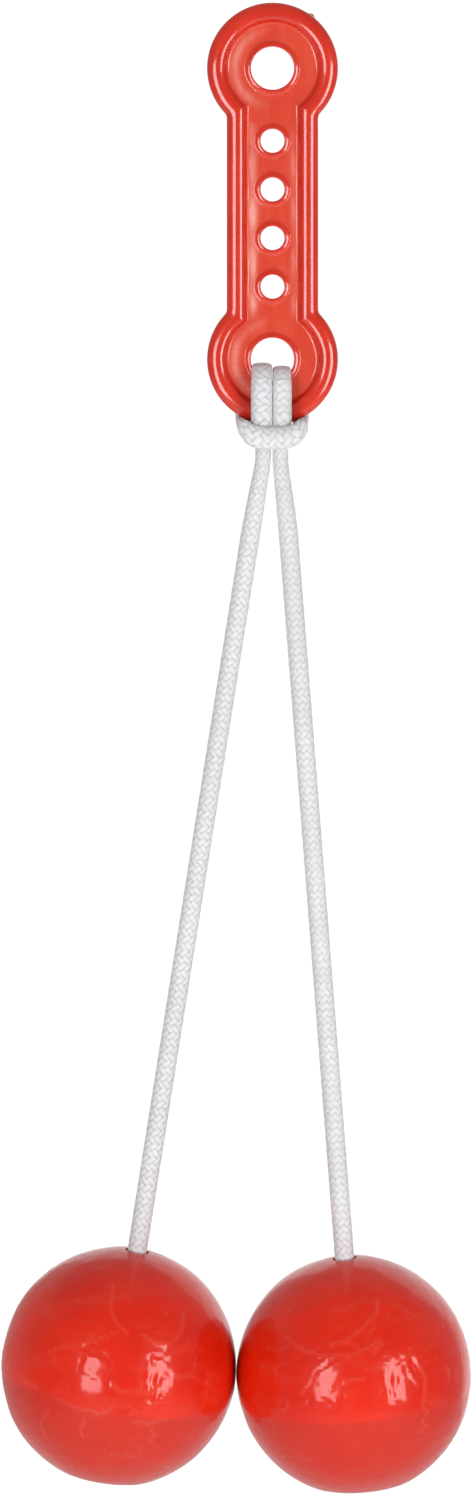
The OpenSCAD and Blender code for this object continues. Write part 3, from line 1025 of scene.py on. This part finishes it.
# %% Chains and blisters for each ball
PARTING = -3.3
CHAIN_HEIGHT = 0.12
BLISTER_HEIGHT = 0.09
CRINKLE_HEIGHT = 0.05
STEP_HEIGHT = 0.03
SEAM_HEIGHT = 0.045
CHAINS = {
    LEFT: [
        [(-12.2, 4.2), (-9.0, 5.9), (-6.0, 7.1), (-3.2, 8.6), (-1.4, 9.6)],
        [(-3.3, 16.0), (-2.9, 12.6), (-1.6, 10.9), (0.4, 9.6)],
        [(2.8, 9.9), (4.9, 9.0), (6.9, 8.6), (8.7, 9.6), (9.3, 11.2), (9.2, 13.2)],
        [(5.2, 6.2), (7.0, 5.7), (8.6, 4.7), (10.2, 3.4)],
        [(-6.2, 3.0), (-4.2, 2.2), (-2.6, 2.5)],
        [(-0.8, 1.5), (0.6, 0.6), (2.3, 0.8), (4.2, 1.0), (7.4, 1.2)],
        [(3.8, 2.1), (5.4, 1.9), (7.6, 2.3)],
        [(-9.4, -3.2), (-6.0, -3.5), (-1.9, -3.8), (-0.9, -3.0), (0.1, -1.6)],
        [(3.6, -4.4), (5.0, -4.2), (6.2, -4.6), (7.4, -3.9), (9.2, -3.4)],
        [(6.6, -5.4), (7.6, -6.4), (6.8, -7.5), (7.8, -8.4)],
        [(-4.9, -5.0), (-4.4, -6.2), (-5.0, -7.2), (-4.3, -8.6)],
        [(-18.6, -1.2), (-15.2, -1.8), (-13.2, -2.0)],
        [(-10.6, -5.6), (-11.6, -8.0), (-10.4, -10.6)],
    ],
    RIGHT: [
        [(-14.4, 8.2), (-12.6, 8.0), (-10.8, 8.8)],
        [(-11.0, 10.2), (-7.8, 8.4), (-4.2, 7.6), (-0.4, 7.6), (2.6, 8.4), (4.6, 9.6)],
        [(-3.6, 9.4), (-1.2, 9.6), (2.4, 11.8), (4.4, 13.4), (4.8, 15.0)],
        [(-4.2, 7.2), (-6.6, 5.6), (-8.8, 2.6)],
        [(0.0, 7.6), (-4.2, 5.6), (-7.4, 3.8), (-9.2, 1.8)],
        [(8.0, 6.6), (10.4, 6.0), (11.0, 4.4), (11.8, 2.4), (11.6, -0.2), (11.0, -1.8)],
        [(10.8, -2.0), (11.9, -3.6), (10.6, -4.8), (11.4, -6.2)],
        [(9.2, 3.6), (10.4, 1.6)],
        [(15.3, 3.0), (15.8, 2.0), (15.6, 1.0)],
        [(-12.4, -1.4), (-11.4, -0.2), (-11.9, 0.4)],
        [(-1.8, 3.4), (0.4, 3.8), (1.4, 3.9)],
        [(4.8, 9.0), (3.4, 7.9)],
    ],
}
BLISTERS = {
    LEFT: [
        (-4.4, 15.6, 0.5), (-8.4, 12.8, 0.5), (1.0, 16.4, 0.4), (6.4, 13.0, 0.6), (5.6, -9.2, 0.9),
        (-5.6, -16.6, 0.6), (-3.6, 9.6, 0.5), (9.8, -1.2, 0.6),
    ],
    RIGHT: [
        (-3.8, 15.2, 0.5), (10.5, -6.8, 0.9), (14.0, 5.0, 0.5), (3.6, -2.7, 0.4), (-1.7, 1.2, 0.5),
        (-11.6, -0.6, 0.5), (6.4, 1.4, 0.7), (-2.0, 9.4, 0.4),
    ],
}
CRINKLES = {
    LEFT: [(6.0, -2.0, 3.6), (5.6, 2.4, 2.4), (-3.6, 9.2, 1.8), (-5.2, 4.6, 2.0), (-4.6, -6.4, 1.6)],
    RIGHT: [(6.4, 2.2, 2.2), (-4.4, 1.2, 2.0), (9.6, 5.4, 1.8), (-1.6, 9.6, 2.2), (10.8, -3.4, 1.4)],
}


def on_front(marks, turned):
    """Across and up, laid on the sphere's front by back = -sqrt(radius^2 - across^2 - up^2), or behind."""
    marks = np.array(marks, float)
    back = -np.sqrt(np.maximum(BALL_RADIUS**2 - marks[:, 0] ** 2 - marks[:, 1] ** 2, 0))
    facing = -1 if turned else 1
    return np.column_stack([facing * marks[:, 0], facing * back, marks[:, 1]])


def sweeps(seed, count=30):
    """Gently sloping arcs on the sphere: azimuth = a + b t, height = h + s t + c t^2, for t from 0 to 1."""
    draw = np.random.default_rng(seed)
    t = np.linspace(0, 1, 7)
    azimuth = draw.uniform(0, 2 * np.pi, (count, 1)) + draw.uniform(0.15, 0.6, (count, 1)) * t
    height = draw.uniform(-13, 15, (count, 1)) + draw.uniform(-3, 3, (count, 1)) * t
    height += draw.uniform(-3, 3, (count, 1)) * t * t
    radius = np.sqrt(BALL_RADIUS**2 - height**2)
    return np.stack([radius * np.cos(azimuth), radius * np.sin(azimuth), height], axis=-1)


def ridge(near, width, ditch):
    """A bell of the distance to a mark, less a shallow one beside it: a ridge with a ditch along it."""
    return bell(near / width) - ditch * bell((near - 2 * width) / width)


def ball_relief(side):
    """How far each point of a ball stands proud, in mm, and how strongly it is marked."""
    points = ball_points
    height = np.zeros(len(points))
    marked = np.zeros(len(points))
    for whose, turned in ((side, False), (-side, True)):
        for k, chain in enumerate(CHAINS[whose]):
            near = distance_to(points, on_front(chain, turned))
            width = 0.24 + 0.05 * (k % 3)
            strength = CHAIN_HEIGHT * (0.75 + 0.25 * waves(points, 3.0, 30 + k))
            height += strength * ridge(near, width, 0.5)
            marked = np.maximum(marked, bell(near / width))
        for x, z, size in BLISTERS[whose]:
            near = np.linalg.norm(points - on_front([(x, z)], turned), axis=1) / size
            height += BLISTER_HEIGHT * (bell(near / 0.45) - 0.55 * bell((near - 1) / 0.4))
            marked = np.maximum(marked, bell(near / 0.5))
        for x, z, size in CRINKLES[whose]:
            near = np.linalg.norm(points - on_front([(x, z)], turned), axis=1) / size
            height += CRINKLE_HEIGHT * bell(near / 1.3) * waves(points, 1.5, 60)
    for k, arc in enumerate(sweeps(40 + side)):
        near = distance_to(points, arc)
        width = 0.2 + 0.1 * (k % 3)
        height += (0.03 + 0.012 * (k % 4)) * ridge(near, width, 0.6)
        marked = np.maximum(marked, 0.45 * bell(near / width))
    above = points[:, 2] - PARTING - 0.25 * waves(points * [1, 1, 0], 14.0, 71 + side)
    step = STEP_HEIGHT * np.tanh(above / 0.18)
    seam = SEAM_HEIGHT * bell(above / 0.22)
    height += step + seam * (0.6 + 0.4 * waves(points, 9.0, 80 + side))
    height += 0.05 * waves(points, 11.0, 90 + side) + 0.014 * waves(points, 3.4, 95 + side)
    height += BALL_SWELL
    from_centre = np.linalg.norm(points, axis=1)
    outside = np.clip((from_centre - BALL_RADIUS + 0.6) / 0.5, 0, 1) * (points[:, 2] > BASE_HEIGHT + 0.4)
    return height * outside, marked * outside, np.clip(0.5 - above / 0.6, 0, 1)


# %% [markdown]
# ## Finish of the balls
# The same plastic in a thicker piece is a deeper red. The half above the parting step is polished, and
# the half below is a little duller and softer in its gloss. Clouds of a slightly darker red run through
# it, and each mark and flow line is a trace paler.

# %% Glossy red plastic, duller below the parting step
def ball_finish():
    """Deep red clouds, duller below the parting, with paler marks and fine scuffs in the gloss."""
    gloss = {"IOR": 1.5, "Specular IOR Level": 0.12, "Coat Weight": 0.55, "Coat Roughness": 0.11}
    finish = Finish("red_ball_plastic", gloss)
    below = finish.painted("below")
    marked = finish.painted("marked")
    cloud = finish.noise(16, 3)
    streak = finish.noise(4, 4, stretch=(0.5, 0.5, 1.6))
    scuff = finish.noise(0.7, 3)
    red = finish.mix(finish.between(cloud, 0.3, 0.7), (0.66, 0.012, 0.0015), (0.76, 0.020, 0.003))
    flow = finish.thin_lines(8, 0.009, (1, 1, 1.8)) * finish.between(streak, 0.48, 0.56)
    flow = flow + finish.thin_lines(5, 0.010, (1.3, 1.3, 1)) * finish.between(cloud, 0.5, 0.6)
    streaked = finish.mix(finish.between(streak, 0.45, 0.75) * 0.55, red, (0.70, 0.035, 0.014))
    duller = finish.mix(below * finish.between(cloud, 0.2, 0.7, 0.25, 0.6), streaked, (0.49, 0.018, 0.005))
    colour = finish.mix(marked * 0.2 + flow * 0.1, duller, (0.80, 0.14, 0.09))
    roughness = 0.3 + below * 0.1 + finish.between(scuff, 0.35, 0.8) * 0.12
    return finish.show(colour, roughness, finish.bump(scuff * 0.3 + streak * 0.4 + flow * 0.4, 0.14, 0.4))


red_ball_plastic = ball_finish()


def make_ball(side):
    """Stands the marked ball on its leg: across, back and down are the leg's own axes."""
    word = SIDE_NAMES[side]
    height, marked, below = ball_relief(side)
    outward = ball_points / np.linalg.norm(ball_points, axis=1, keepdims=True)
    local = ball_points + outward * height[:, None]
    placed = on_leg(side, local[:, 0], local[:, 1], BALL_CENTRE_AT - local[:, 2])
    ball = make_piece(f"{word}_ball_moulding", placed, ball_faces, red_ball_plastic, normals_checked=True)
    paint(ball, "below", below)
    paint(ball, "marked", marked)
    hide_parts(f"{word}_ball")
    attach(ball, f"{word}_ball")


for side in SIDE_NAMES:
    make_ball(side)

# %% [markdown]
# ## Floor, lights and surroundings
# The toy hangs above a plain pale floor. A tall soft box stands either side of the camera, and each ball
# shows both of them. A larger one behind the toy lights its edges. The surroundings are plain white to
# look at, and the light that they give is dimmer, as in a room with a lit screen, which keeps the reds
# deep and their edges grey.

# %% Floor
FLOOR_HEIGHT = -0.62
FLOOR_HALF = 1.35


def floor_finish():
    """Matt and pale, with a trace of light of its own. It is clear from below, to show the underside."""
    finish = Finish("pale_floor", {"Roughness": 0.95, "Specular IOR Level": 0.0, "Emission Strength": 0.12})
    finish.shader.inputs["Emission Color"].default_value = (1, 1, 1, 1)
    grain = finish.noise(40, 4)
    finish.give(finish.shader.inputs["Base Color"], finish.mix(grain, (0.86, 0.86, 0.86), (0.90, 0.90, 0.90)))
    clear = finish.node("ShaderNodeBsdfTransparent")
    behind = finish.node("ShaderNodeNewGeometry").outputs["Backfacing"]
    faces = {0: behind, 1: finish.shader.outputs[0], 2: clear.outputs[0]}
    both = finish.node("ShaderNodeMixShader", None, faces)
    finish.give(finish.tree.nodes["Material Output"].inputs["Surface"], both.outputs[0])
    return finish.material


corners = np.array([(-1, -1), (1, -1), (1, 1), (-1, 1)]) * FLOOR_HALF
floor_mesh = bpy.data.meshes.new("floor")
floor_mesh.from_pydata([(x, y, FLOOR_HEIGHT) for x, y in corners], [], [(0, 1, 2, 3)])
floor_mesh.materials.append(floor_finish())
floor = bpy.data.objects.new("floor", floor_mesh)
bpy.context.scene.collection.objects.link(floor)
print("floor at", FLOOR_HEIGHT, "m")


# %% Soft boxes and surroundings
LIT_PLACE = (-0.006, 0, -0.2)
LIGHT_DISTANCE = 0.9


def soft_box(name, azimuth, elevation, width, height, watts):
    """An area light that faces the balls, from an angle to the camera's line and an angle above level."""
    light = bpy.data.lights.new(name, "AREA")
    light.shape = "RECTANGLE"
    light.size = width
    light.size_y = height
    light.energy = watts
    lamp = bpy.data.objects.new(name, light)
    a = math.radians(azimuth)
    e = math.radians(elevation)
    away = np.array([math.sin(a) * math.cos(e), -math.cos(a) * math.cos(e), math.sin(e)])
    lamp.location = np.array(LIT_PLACE) + LIGHT_DISTANCE * away
    lamp.rotation_euler = (math.pi / 2 - e, 0, a)
    lamp.visible_camera = False
    bpy.context.scene.collection.objects.link(lamp)


soft_box("left_soft_box", -27, 3, 0.30, 0.52, 3.75)
soft_box("right_soft_box", 40, 3, 0.28, 0.52, 3.85)
soft_box("rear_soft_box", 165, 10, 1.1, 1.1, 2.3)

FRONT_LIGHT = 0.3
BACK_LIGHT = 0.45
SEEN_LIGHT = 1.05
world = bpy.data.worlds.new("studio")
bpy.context.scene.world = world
world.use_nodes = True
tree = world.node_tree
direction = tree.nodes.new("ShaderNodeTexCoord")
split = tree.nodes.new("ShaderNodeSeparateXYZ")
shade = tree.nodes.new("ShaderNodeMapRange")
shade.interpolation_type = "SMOOTHSTEP"
shade.inputs["From Min"].default_value = -0.6
shade.inputs["From Max"].default_value = 0.5
shade.inputs["To Min"].default_value = FRONT_LIGHT
shade.inputs["To Max"].default_value = BACK_LIGHT
tree.links.new(direction.outputs["Generated"], split.inputs[0])
tree.links.new(split.outputs["Y"], shade.inputs["Value"])
seen = tree.nodes.new("ShaderNodeLightPath")
choose = tree.nodes.new("ShaderNodeMix")
choose.inputs[3].default_value = SEEN_LIGHT
tree.links.new(seen.outputs["Is Camera Ray"], choose.inputs[0])
tree.links.new(shade.outputs["Result"], choose.inputs[2])
tree.links.new(choose.outputs[0], tree.nodes["Background"].inputs["Strength"])
tree.nodes["Background"].inputs["Color"].default_value = (1, 1, 1, 1)
bpy.context.scene.view_settings.view_transform = "Standard"
print("surroundings from", FRONT_LIGHT, "in front to", BACK_LIGHT, "behind")
